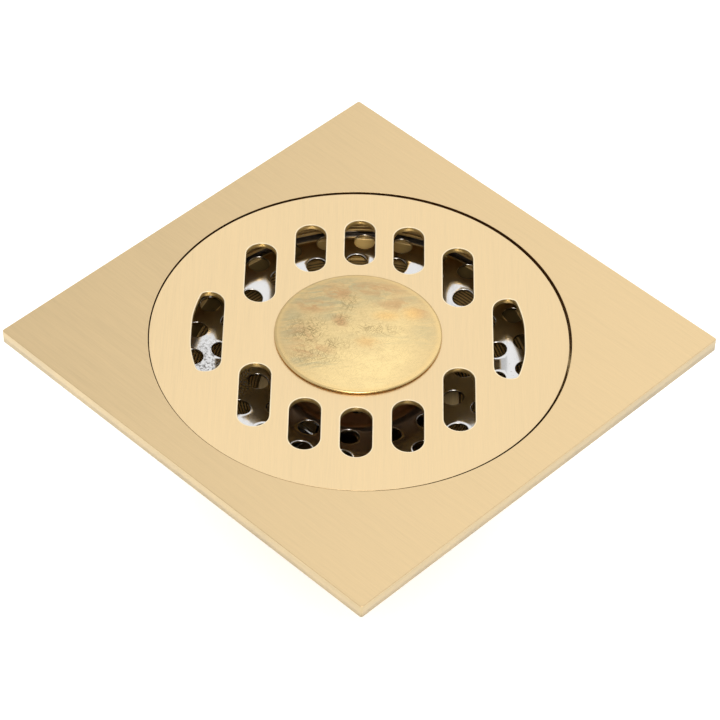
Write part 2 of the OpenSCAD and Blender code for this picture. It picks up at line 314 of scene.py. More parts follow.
class Nodes:
    """A short way to write a node material."""

    def __init__(self, name, color=(0.8, 0.8, 0.8), metallic=0.0, roughness=0.5, **inputs):
        self.mat = bpy.data.materials.new(name)
        self.mat.use_nodes = True
        self.tree = self.mat.node_tree
        self.bsdf = self.tree.nodes["Principled BSDF"]
        self.bsdf.inputs["Base Color"].default_value = (*color, 1)
        self.bsdf.inputs["Metallic"].default_value = metallic
        self.bsdf.inputs["Roughness"].default_value = roughness
        for key, value in inputs.items():
            self.bsdf.inputs[key.replace("_", " ")].default_value = value

    def new(self, kind, **props):
        node = self.tree.nodes.new(kind)
        for key, value in props.items():
            setattr(node, key, value)
        return node

    def link(self, a, b):
        self.tree.links.new(a, b)

    def coords(self, turn=0.0, scale=(1, 1, 1), centre=(0, 0, 0)):
        """Object coordinates about a centre, turned so that the first axis runs along turn, and scaled."""
        tex = self.new("ShaderNodeTexCoord")
        inner = self.new("ShaderNodeMapping", vector_type="POINT")
        outer = self.new("ShaderNodeMapping", vector_type="POINT")
        c, s = cos(-turn), sin(-turn)
        x, y, z = centre
        inner.inputs["Rotation"].default_value = (0, 0, -turn)
        inner.inputs["Location"].default_value = (s * y - c * x, -s * x - c * y, -z)
        outer.inputs["Scale"].default_value = scale
        self.link(tex.outputs["Object"], inner.inputs["Vector"])
        self.link(inner.outputs["Vector"], outer.inputs["Vector"])
        return outer.outputs["Vector"]

    def split(self, vector):
        node = self.new("ShaderNodeSeparateXYZ")
        self.link(vector, node.inputs[0])
        return node.outputs

    def noise(self, vector, scale=1.0, detail=2.0, rough=0.5, distortion=0.0):
        node = self.new("ShaderNodeTexNoise")
        node.inputs["Scale"].default_value = scale
        node.inputs["Detail"].default_value = detail
        node.inputs["Roughness"].default_value = rough
        node.inputs["Distortion"].default_value = distortion
        self.link(vector, node.inputs["Vector"])
        return node.outputs["Fac"]

    def ramp(self, fac, stops, interpolation="LINEAR"):
        node = self.new("ShaderNodeValToRGB")
        node.color_ramp.interpolation = interpolation
        el = node.color_ramp.elements
        while len(el) < len(stops):
            el.new(0.5)
        for e, (pos, col) in zip(el, stops):
            e.position = pos
            e.color = (*col, 1) if hasattr(col, "__len__") else (col, col, col, 1)
        self.link(fac, node.inputs["Fac"])
        return node.outputs["Color"]

    def range(self, fac, a, b, low=0.0, high=1.0):
        node = self.new("ShaderNodeMapRange")
        for key, value in (("From Min", low), ("From Max", high), ("To Min", a), ("To Max", b)):
            node.inputs[key].default_value = value
        self.link(fac, node.inputs["Value"])
        return node.outputs["Result"]

    def math(self, kind, a, b=None, clamp=False):
        node = self.new("ShaderNodeMath", operation=kind, use_clamp=clamp)
        for i, v in enumerate((a, b)):
            if isinstance(v, (int, float)):
                node.inputs[i].default_value = v
            elif v is not None:
                self.link(v, node.inputs[i])
        return node.outputs[0]

    def times(self, a, b, clamp=False):
        return self.math("MULTIPLY", a, b, clamp)

    def plus(self, a, b):
        return self.math("ADD", a, b)

    def length(self, vector):
        node = self.new("ShaderNodeVectorMath", operation="LENGTH")
        self.link(vector, node.inputs[0])
        return node.outputs["Value"]

    def mix(self, fac, a, b, blend="MIX"):
        node = self.new("ShaderNodeMix", data_type="RGBA", blend_type=blend)
        for sock, v in ((node.inputs["Factor"], fac), (node.inputs[6], a), (node.inputs[7], b)):
            if isinstance(v, (int, float)):
                sock.default_value = v
            elif isinstance(v, (tuple, list)):
                sock.default_value = (*v, 1)
            else:
                self.link(v, sock)
        return node.outputs[2]

    def bump(self, height, strength, distance, normal=None):
        node = self.new("ShaderNodeBump")
        node.inputs["Strength"].default_value = strength
        node.inputs["Distance"].default_value = distance
        self.link(height, node.inputs["Height"])
        if normal is not None:
            self.link(normal, node.inputs["Normal"])
        return node.outputs["Normal"]

    def shade(self, color, value):
        """A colour times a grey value."""
        comb = self.new("ShaderNodeCombineColor")
        for socket in comb.inputs[:3]:
            self.link(value, socket)
        return self.mix(1.0, color, comb.outputs[0], "MULTIPLY")

    def fade(self, color, direction, change):
        """A colour with painted light and shade: brighter by change over 100 mm in one direction."""
        along = self.split(self.coords(direction))[0]
        return self.shade(color, self.range(along, 1 - change / 2, 1 + change / 2, -0.05, 0.05))

    def radius(self):
        """Distance from the Z axis and height, in metres."""
        x, y, z = self.split(self.new("ShaderNodeTexCoord").outputs["Object"])
        return self.math("SQRT", self.plus(self.math("POWER", x, 2), self.math("POWER", y, 2))), z

    def spot(self, turn, centre, half_x, half_y, soft=0.6):
        """1 in the middle of an oval round centre, fading to 0 past its edge."""
        away = self.length(self.coords(turn, (1 / half_x, 1 / half_y, 0), centre))
        return self.range(away, 1.0, 0.0, 1 - soft, 1.0 + soft)

    def spots(self, turn, places):
        """The strongest of several spots."""
        total = None
        for strength, *place in places:
            spot = self.times(self.spot(turn, *place), strength)
            total = spot if total is None else self.math("MAXIMUM", total, spot)
        return total

    def out(self, color=None, roughness=None, normal=None):
        for value, key in ((color, "Base Color"), (roughness, "Roughness"), (normal, "Normal")):
            if value is not None:
                self.link(value, self.bsdf.inputs[key])
        return self.mat


def scaled(color, factor):
    return tuple(min(1, c * factor) for c in color)


def brushed(name, color, turn, rough, grain, painted_gradient):
    """Satin brass with a straight brush grain along turn. gradient is painted light and shade: (direction,
    change over 100 mm).
    """
    m = Nodes(name, color, 1.0, rough)
    fine = m.noise(m.coords(turn, (150, 4200, 150)), 1, 3, 0.6)
    mid = m.noise(m.coords(turn, (45, 1100, 45)), 1, 2, 0.5)
    wide = m.noise(m.coords(turn, (22, 60, 22)), 1, 2, 0.5)
    parts = [m.times(part, share) for part, share in ((fine, 0.45), (mid, 0.3), (wide, 0.25))]
    tone = m.plus(m.plus(parts[0], parts[1]), parts[2])
    stops = [(0.30, scaled(color, 1 - 0.06 * grain)), (0.52, color), (0.74, scaled(color, 1 + 0.05 * grain))]
    # painted light and shade: the colour brightens along one direction
    col = m.fade(m.ramp(tone, stops), *painted_gradient)
    r = m.range(tone, rough - 0.06, rough + 0.07, 0.3, 0.7)
    return m.out(col, r, m.bump(fine, 0.22 * grain, 0.00002, m.bump(mid, 0.07 * grain, 0.00003)))


def milled(name, color, rough=0.34, metallic=1.0, painted_gradient=None):
    """Cut brass with fine level tool marks and a few nicks, for walls and side faces."""
    m = Nodes(name, color, metallic, rough, Specular_IOR_Level=0.1)
    marks = m.noise(m.coords(0, (40, 40, 5200)), 1, 3, 0.6)
    cloud = m.noise(m.coords(), 130, 3, 0.6)
    nick = m.ramp(m.noise(m.coords(), 900, 2, 0.6), [(0.66, 0), (0.72, 1)])
    tone = m.plus(m.times(marks, 0.5), m.times(cloud, 0.5))
    col = m.ramp(tone, [(0.32, scaled(color, 0.86)), (0.52, color), (0.72, scaled(color, 1.10))])
    col = m.mix(m.times(nick, 0.4), col, scaled(color, 0.6))
    # painted light and shade: the colour brightens along one direction
    if painted_gradient:
        col = m.fade(col, *painted_gradient)
    return m.out(col, m.range(tone, rough - 0.06, rough + 0.08, 0.3, 0.7), m.bump(marks, 0.3, 0.00003))


def lathe(name, color, pitch=0.0006, rough=0.3, dark=0.55, metallic=1.0, painted_fan=None):
    """Turned brass: fine rings round the axis and darker stains.
    sheen is the direction of painted highlight fans: the colour brightens facing it and its opposite and
    darkens elsewhere."""
    m = Nodes(name, color, metallic, rough, Specular_IOR_Level=0.1)
    radius, z = m.radius()
    along = m.plus(radius, m.times(z, 1.37))
    comb = m.new("ShaderNodeCombineXYZ")
    m.link(m.times(along, 1 / pitch), comb.inputs[0])
    rings = m.noise(comb.outputs[0], 1.0, 3, 0.6)
    stain = m.noise(m.coords(), 90, 4, 0.6)
    tone = m.plus(m.times(rings, 0.55), m.times(stain, 0.45))
    col = m.ramp(tone, [(0.30, scaled(color, dark)), (0.52, color), (0.75, scaled(color, 1.12))])
    if painted_fan is not None:
        # painted highlight: bright fans in the colour, facing one way and its opposite
        facing = m.math("ABSOLUTE", m.math("DIVIDE", m.split(m.coords(painted_fan))[0], radius))
        col = m.shade(col, m.range(m.math("POWER", facing, 36), 0.22, 1.6))
    r = m.range(tone, rough + 0.10, rough - 0.06, 0.3, 0.7)
    return m.out(col, r, m.bump(rings, 0.4, 0.00004))


def ridged(name, color):
    """The bowl's sloping floor: bright turned ridges, with painted shade in the grooves between them and
    random stains.
    """
    m = Nodes(name, color, 0.35, 0.35, Specular_IOR_Level=0.1)
    radius, _ = m.radius()
    steps = m.times(m.math("SUBTRACT", radius, RIDGES_FROM * MM), 1 / (RIDGE_STEP * MM))
    wave = m.math("FRACT", steps)
    # painted shade: the colour drops to 0.3 in the grooves between the ridges
    groove_shade_and_stain = m.ramp(wave, [(0.20, 1.0), (0.36, 0.30), (0.64, 0.30), (0.80, 1.0)])
    stain = m.range(m.noise(m.coords(), 160, 4, 0.6), 0.75, 1.15, 0.3, 0.7)
    # random stains on top of the painted shade
    groove_shade_and_stain = m.times(groove_shade_and_stain, stain)
    return m.out(m.shade(color, groove_shade_and_stain), m.range(groove_shade_and_stain, 0.5, 0.3))


def tarnished(name, centre, radius, color):
    """Hand-polished brass cap: greenish and pink wiping strokes and scratched patches, with painted shade
    towards the far left, a painted highlight at the near side, a painted golden reflection along the rounded
    edge and a colour darker towards the edge.
    """
    m = Nodes(name, color, 1.0, 0.24)
    across = LID_TURN - pi / 2  # to the right, seen along the slots

    def at(u, v, half_u, half_v, strength=1.0):
        """A spot's place, in cap radii to the right and away from the viewer."""
        dx, dy = turned(u * radius, v * radius)
        return strength, (centre[0] + dx, centre[1] + dy, centre[2]), half_u * radius, half_v * radius

    plan = m.split(m.coords(across, (1, 1, 1), centre))
    # 0 at the near right, 1 at the far left: the colour takes painted shade that way, and the wipes and
    #                                         roughness grow
    side = m.plus(m.times(plan[0], -14), m.times(plan[1], 28))
    side = m.range(side, 0.0, 1.0, -0.34, 0.40)
    strokes = m.noise(m.coords(across + 0.12, (150, 620, 150), centre), 1, 4, 0.65, 0.8)
    swirl = m.noise(m.coords(across - 0.5, (230, 480, 230), centre), 1, 4, 0.65, 1.0)
    patches = m.noise(m.coords(across - 0.3, (120, 210, 120), centre), 1, 3, 0.6, 0.9)
    green_at = m.spots(across, [
        at(-0.55, 0.62, 0.42, 0.20), at(-0.36, 0.50, 0.34, 0.12), at(-0.80, 0.10, 0.14, 0.30, 0.8),
        at(-0.56, -0.50, 0.26, 0.12, 0.9), at(-0.22, 0.80, 0.40, 0.12, 0.9), at(0.36, 0.62, 0.45, 0.16, 0.7),
        at(-0.28, 0.26, 0.20, 0.10, 0.7), at(0.80, 0.02, 0.14, 0.22, 0.5), at(0.28, -0.10, 0.40, 0.10, 0.4),
    ])
    pink_at = m.spots(across, [
        at(-0.24, 0.68, 0.18, 0.12), at(0.20, 0.74, 0.34, 0.10, 0.9), at(-0.54, 0.42, 0.20, 0.09),
        at(-0.56, -0.32, 0.22, 0.10, 0.9), at(0.46, 0.48, 0.22, 0.10, 0.8), at(-0.66, -0.05, 0.14, 0.14, 0.7),
        at(0.74, 0.40, 0.10, 0.14, 0.8), at(0.12, -0.18, 0.14, 0.10, 0.5), at(-0.22, 0.16, 0.08, 0.10),
    ])
    orange_at = m.spots(across, [
        at(0.34, 0.28, 0.14, 0.07), at(0.64, 0.33, 0.10, 0.09), at(0.10, -0.16, 0.10, 0.08, 0.6),
    ])
    scratched = m.spots(across, [
        at(-0.60, 0.0, 0.22, 0.22), at(-0.12, 0.50, 0.12, 0.16, 0.8), at(-0.20, 0.20, 0.12, 0.10, 0.9),
        at(-0.30, -0.22, 0.24, 0.10, 0.8), at(0.22, 0.04, 0.30, 0.10, 0.7), at(-0.50, -0.42, 0.30, 0.16, 0.7),
        at(0.0, 0.0, 1.0, 1.0, 0.22),
    ])
    green = m.times(green_at, m.ramp(strokes, [(0.42, 0.1), (0.56, 1)], "EASE"))
    pink = m.times(pink_at, m.ramp(swirl, [(0.43, 0.1), (0.55, 1)], "EASE"))
    wipes = m.noise(m.coords(across + 0.12, (420, 2300, 420), centre), 1, 3, 0.65, 0.6)
    # painted shade: darker towards the far left
    col = m.mix(m.times(side, 0.85, True), color, (0.65, 0.485, 0.24))
    far = m.length(m.coords(0, (1, 1, 0), centre))
    # darker towards the edge; a painted highlight at the near side keeps it light there
    bright = m.spots(across, [at(0.02, -0.80, 0.62, 0.62)])
    outer = m.range(far, 0.0, 1.0, radius * 0.45, radius * 0.95)
    outer = m.times(outer, m.range(bright, 1.0, 0.25))
    col = m.mix(m.times(outer, 0.8, True), col, (0.63, 0.455, 0.22))
    cloudy = m.ramp(patches, [(0.36, 0), (0.62, 1)], "EASE")
    col = m.mix(m.times(cloudy, 0.30), col, (0.64, 0.49, 0.25))
    col = m.mix(m.times(green, 0.85), col, (0.47, 0.41, 0.235))
    col = m.mix(m.times(pink, 0.9), col, (0.56, 0.345, 0.165))
    col = m.mix(m.times(orange_at, 0.65), col, (0.84, 0.53, 0.20))
    wiped = m.range(wipes, -0.5, 0.5, 0.35, 0.65)
    wiped = m.plus(m.times(wiped, m.range(side, 0.04, 0.12)), 1)
    col = m.shade(col, wiped)
    scratch = None
    for k, turn in enumerate((0.35, 0.8, 1.3, 2.0, 2.6)):
        fine = m.noise(m.coords(across + turn, (480, 5200, 480), (0.003 * k, 0.002, 0)), 1, 1, 0.5, 0.7)
        fine = m.ramp(fine, [(0.62, 0), (0.67, 1)])
        scratch = fine if scratch is None else m.math("MAXIMUM", scratch, fine)
    scratch = m.times(scratch, scratched)
    pits = m.ramp(m.noise(m.coords(0, (1, 1, 1), centre), 1900, 2, 0.6), [(0.66, 0), (0.74, 1)])
    marks = m.math("MAXIMUM", m.times(scratch, 0.9), m.times(pits, 0.25))
    col = m.mix(marks, col, (0.30, 0.22, 0.10))
    # painted reflection: a golden band along the rounded edge
    rim = m.range(far, 0.0, 1.0, radius - 0.0014, radius - 0.0006)
    col = m.mix(m.times(rim, m.range(swirl, 0.25, 0.75, 0.3, 0.7)), col, (0.78, 0.56, 0.25))
    rough = m.plus(m.range(side, 0.20, 0.34), m.times(scratch, 0.10))
    waves = m.bump(patches, 0.10, 0.0003)
    return m.out(col, rough, m.bump(scratch, 0.12, 0.00003, m.bump(strokes, 0.06, 0.00004, waves)))


def polished(name, color=(0.61, 0.605, 0.60), rough=0.11, stained=None, metallic=1.0):
    """Bright steel with light wipe marks and dust. stained is the centre of a patch of dark specks."""
    m = Nodes(name, color, metallic, rough)
    wipe = m.noise(m.coords(0.7, (90, 1400, 90)), 1, 3, 0.6, 0.4)
    cloud = m.noise(m.coords(), 160, 3, 0.6)
    dust = m.ramp(m.noise(m.coords(), 2200, 2, 0.6), [(0.68, 0), (0.73, 1)])
    mark = m.ramp(cloud, [(0.5, 0), (0.7, 1)])
    r = m.plus(m.range(wipe, rough - 0.02, rough + 0.05, 0.35, 0.65), m.times(mark, 0.05))
    col = m.mix(m.times(dust, 0.5), color, (0.36, 0.34, 0.31))
    if stained:
        patch = m.range(m.length(m.coords(0, (1, 1, 0), stained)), 1.0, 0.0, 0.006, 0.011)
        specks = m.ramp(m.noise(m.coords(1.0, (1, 1, 1)), 1900, 3, 0.7, 0.6), [(0.50, 0), (0.57, 1)])
        specks = m.times(specks, patch, True)
        col = m.mix(m.times(specks, 0.75), col, (0.16, 0.15, 0.14))
        r = m.plus(r, m.times(specks, 0.25))
    return m.out(col, r, m.bump(wipe, 0.04, 0.00002))


def rubber(name, color, rough=0.7):
    """Moulded rubber with a dusty, pebbled skin."""
    m = Nodes(name, color, 0.0, rough)
    skin = m.noise(m.coords(), 2400, 3, 0.6)
    dust = m.noise(m.coords(), 160, 4, 0.6)
    col = m.ramp(dust, [(0.35, scaled(color, 0.8)), (0.7, scaled(color, 1.3))])
    return m.out(col, m.range(dust, rough - 0.12, rough + 0.1, 0.3, 0.7), m.bump(skin, 0.25, 0.00004))


PLATE = (0.722, 0.545, 0.308)
LID = (0.81, 0.62, 0.36)
# the colour of the painted highlight on the slots' top edges
EDGE_HIGHLIGHT = (0.95, 0.80, 0.55)
picture_right = LID_TURN - pi / 2
# The last argument of each paints light and shade: the plate slightly lighter one way, lid and side faces
# darker towards the picture's right, slot walls darker in the near slots.
plate_brass = brushed("brushed_brass_plate", PLATE, pi / 2, 0.36, 1.5, (-pi / 2, 0.03))
lid_brass = brushed("brushed_brass_lid", LID, LID_TURN, 0.36, 1.35, (picture_right, -0.17))
side_brass = milled("milled_brass_side", (0.59, 0.465, 0.275), painted_gradient=(picture_right, -0.18))
wall_brass = milled("milled_brass_wall", (0.64, 0.44, 0.16), 0.3, 0.6, (LID_TURN + 0.5, 1.0))
seam_brass = milled("milled_brass_seam", (0.46, 0.27, 0.10), 0.3)
# painted highlight for the slots' top edges
edge_highlight_brass = milled("brass_edge_painted_highlight", EDGE_HIGHLIGHT, 0.4)
inner_brass = lathe("turned_brass_inner", (0.78, 0.53, 0.19), 0.0007, 0.45, 0.8, 0.4)
# painted reflection: the red colour stands in for warm light bounced between brass faces
interreflection_brass = lathe("turned_brass_painted_interreflection", (0.92, 0.42, 0.15), 0.0007, 0.4, 0.7, 0.5)
# a dark brown-grey brass for the hose collar
dark_collar_brass = lathe("turned_brass_dark", (0.40, 0.28, 0.19), 0.0007, 0.4, 0.6, 0.7)
bowl_brass = lathe("turned_brass_bowl", (0.72, 0.53, 0.25), 0.0002, 0.3, 0.55, 0.65)
# painted light on the strainer's wall: near-black steel stands in for shade in its lower band, golden steel
# for the bowl's reflection above it
painted_shade_steel = polished("steel_painted_shade", (0.07, 0.06, 0.05), 0.3)
painted_reflection_steel = polished("steel_painted_gold_reflection", (0.46, 0.31, 0.12), 0.35, metallic=0.5)
ridge_brass = ridged("ridged_brass_floor", (0.72, 0.50, 0.20))
# its colour carries painted highlight fans towards the far corner
upper_brass = lathe("turned_brass_upper", (0.86, 0.60, 0.23), 0.0003, 0.4, 0.75, 0.3, LID_TURN)
core_brass = lathe("turned_brass_core", (0.40, 0.28, 0.13), 0.0004, 0.32)
cap_centre = [c * MM for c in (*on_lid(0, 0), TOP)]
cap_radius = node_size("hose_plug")[0] * MM
cap_brass = tarnished("tarnished_brass", cap_centre, cap_radius, (0.85, 0.66, 0.32))
speckled = [c * MM for c in (*turned(-29, -6), BRIM)]
steel = polished("polished_steel", stained=speckled)
wire_steel = polished("spring_steel", (0.62, 0.62, 0.62), 0.16)
black_rubber = rubber("black_rubber", (0.030, 0.030, 0.032))
silicone = rubber("white_silicone", (0.72, 0.70, 0.65), 0.5)

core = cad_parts["core_body"]
if not core.material_slots:
    core.data.materials.append(core_brass)
for material_slot in core.material_slots:
    material_slot.material = core_brass


# ---- Face plate ----

plate_half, corner_r, plate_bevel, seam_bevel = 50, 0.5, 0.15, 0.07
plate = slab(
    "plate_skin", rectangle(plate_half, plate_half, corner_r, 6), [circle(SEAM_R, 256)],
    BED, TOP, (plate_bevel, seam_bevel),
    [plate_brass, side_brass, plate_brass, edge_highlight_brass, seam_brass],
)
piece(plate, "drain", "brushed_brass", "face_plate")


# ---- Lid ----


def stadium(x, y0, y1, r, n=24):
    """Anticlockwise slot outline along y, with its end centres at y0 and y1."""
    pts = [(x + r * cos(pi * k / n), y1 + r * sin(pi * k / n)) for k in range(n + 1)]
    m = max(2, int((y1 - y0) / 0.5))
    pts += [(x - r, y1 + (y0 - y1) * k / m) for k in range(1, m)]
    pts += [(x - r * cos(pi * k / n), y0 - r * sin(pi * k / n)) for k in range(n + 1)]
    pts += [(x + r, y0 + (y1 - y0) * k / m) for k in range(1, m)]
    return pts


def relax(loop, rounds):
    """Softens the corners of a dense loop."""
    for _ in range(rounds):
        n = len(loop)
        loop = [
            tuple((loop[i - 1][c] + 2 * loop[i][c] + loop[(i + 1) % n][c]) / 4 for c in (0, 1))
            for i in range(n)
        ]
    return loop


def slot_loops():
    r = SLOT_W / 2
    loops = []
    for column in range(-2, 3):
        x = column * SLOT_PITCH
        near = sqrt((SLOTS_INNER_R + r) ** 2 - x * x)
        far = sqrt((SLOTS_OUTER_R - r) ** 2 - x * x)
        loops += [stadium(x, near, far, r), stadium(x, -far, -near, r)]
    for side in (-3, 3):
        pts = []
        for x, y in stadium(side * SLOT_PITCH, r - SIDE_SLOT_HALF, SIDE_SLOT_HALF - r, r, 48):
            d = hypot(x, y)
            pts.append((x * SLOTS_OUTER_R / d, y * SLOTS_OUTER_R / d) if d > SLOTS_OUTER_R else (x, y))
        loops.append(relax(pts, 10))
    return loops


# slot_highlight is the width of the painted highlight band along each slot's top edge
slot_bevel, slot_highlight = 0.09, 0.15
lid_holes = [circle(HOSE_R, 96, on_lid)] + [[on_lid(*p) for p in loop] for loop in slot_loops()]
lid = slab(
    "lid_skin", circle(LID_R, 256, lid_edge), lid_holes, TOP - LID_WEB, TOP, (seam_bevel, slot_bevel),
    [lid_brass, seam_brass, inner_brass, edge_highlight_brass, wall_brass], [0] + [slot_highlight] * (len(lid_holes) - 1),
)
piece(lid, "lid", "brushed_brass", "grate_lid")
skirt_top, skirt_in = TOP - LID_WEB, LID_R - 2
skirt = spin(
    "lid_skirt",
    rounded([(LID_R, skirt_top, 0), (LID_R, LEDGE), (skirt_in, LEDGE), (skirt_in, skirt_top, 0)], 0.25),
    inner_brass, 192, lid_edge,
)
piece(crisp(skirt), "lid", "brushed_brass")
collar_z, collar_r = BED - 1.9, HOSE_R + 1.6
collar_outline = [(HOSE_R, skirt_top, 0), (HOSE_R, collar_z), (collar_r, collar_z), (collar_r, skirt_top, 0)]
collar = spin("hose_collar_ring", rounded(collar_outline, 0.3), dark_collar_brass, 128, on_lid)
piece(crisp(collar), "lid", "turned_brass", "hose_collar")


# ---- Hose plug ----

cap_r, _, cap_top = node_size("hose_plug")
crown = 0.25
cap_edge = cap_top - crown
edge_w, edge_h = 0.6, 0.3  # the cap's rounded edge
lip_z = TOP + 0.2  # the cap's rim is this far clear of the lid
flange_z = TOP + 0.02  # and its middle rests on it
skirt_r, skirt_t, skirt_z = 13.6, 1.6, BED - 1.4
skirt_r_in = skirt_r - skirt_t
roof_z = TOP - 0.6  # the hollow under the cap
groove_z, groove_r, oring_s = BED + 0.3, HOSE_R - 1.0, 0.9
crown_points = [((cap_r - edge_w) * k / 8, cap_edge + crown * (1 - (k / 8) ** 2)) for k in range(8)]
crown_points += [
    (cap_r - edge_w * (1 - sin(radians(a))), cap_edge - edge_h * (1 - cos(radians(a))))
    for a in range(0, 91, 15)
]
plug_outline = (
    crown_points
    + [(cap_r, lip_z + 0.1), (cap_r - 0.1, lip_z), (cap_r - 0.9, lip_z), (cap_r - 1.0, flange_z)]
    + [(skirt_r + 0.1, flange_z), (skirt_r, flange_z - 0.1)]
    + [(skirt_r, groove_z + 0.8), (skirt_r - 0.45, groove_z + 0.6), (skirt_r - 0.75, groove_z)]
    + [(skirt_r - 0.45, groove_z - 0.6), (skirt_r, groove_z - 0.8)]
    + [(skirt_r, skirt_z + 0.3), (skirt_r - 0.3, skirt_z), (skirt_r_in + 0.2, skirt_z)]
    + [(skirt_r_in, skirt_z + 0.2), (skirt_r_in, roof_z - 0.3), (skirt_r_in - 0.3, roof_z), (0, roof_z)]
)
# the plug's skirt and hollow take the brass with painted red interreflection
plug_slots = [0 if r > skirt_r or z > TOP else 1 for r, z in plug_outline]
plug = spin("plug_cap", plug_outline, [cap_brass, interreflection_brass], 192, on_lid, plug_slots)
piece(crisp(plug, 50), "plug", "tarnished_brass", "hose_plug")
oring_outline = [(groove_r + r, groove_z + z) for r, z in circle(oring_s, 20)]
oring = spin("plug_oring_ring", oring_outline, black_rubber, 96, on_lid)
piece(oring, "plug", "black_rubber", "plug_oring")


# ---- Strainer ----

# rings of holes: radius, number, direction of the first hole, inner and outer edge of the holes' cells
HOLE_RINGS = [
    (11.8, 8, 90, 8.6, 15.0),
    (21, 16, 265.2, 17.9, 24.1),
    (27.4, 21, 92, 24.3, 30.3),
    (33.2, 27, 89, 30.5, 35.42),
]
DISH = 2.185  # the dish's rise up to DISH_R, but for its run-out
DISH_R = 28.8
DISH_POWER = 2.6
FLAT_FROM, FLAT_TO = 27.8, 31.2  # the dish runs out into the flat brim between these radii
DISH_STEP, DISH_STEPS = 0.1, 360


def dish_slope(r):
    """Slope of the dish at radius r: steeper outwards, then flat."""
    slope = DISH * DISH_POWER / DISH_R * (r / DISH_R) ** (DISH_POWER - 1)
    if r > FLAT_FROM:
        t = min((r - FLAT_FROM) / (FLAT_TO - FLAT_FROM), 1)
        slope *= 1 - t * t * (3 - 2 * t)
    return slope


dish_table = [0.0]
for step in range(DISH_STEPS):
    dish_table.append(dish_table[-1] + DISH_STEP * dish_slope((step + 0.5) * DISH_STEP))


def dish_z(r):
    """Height of the dish's upper face at radius r."""
    at = min(r / DISH_STEP, DISH_STEPS - 0.001)
    k = int(at)
    return BRIM - dish_table[-1] + dish_table[k] * (1 - at + k) + dish_table[k + 1] * (at - k)


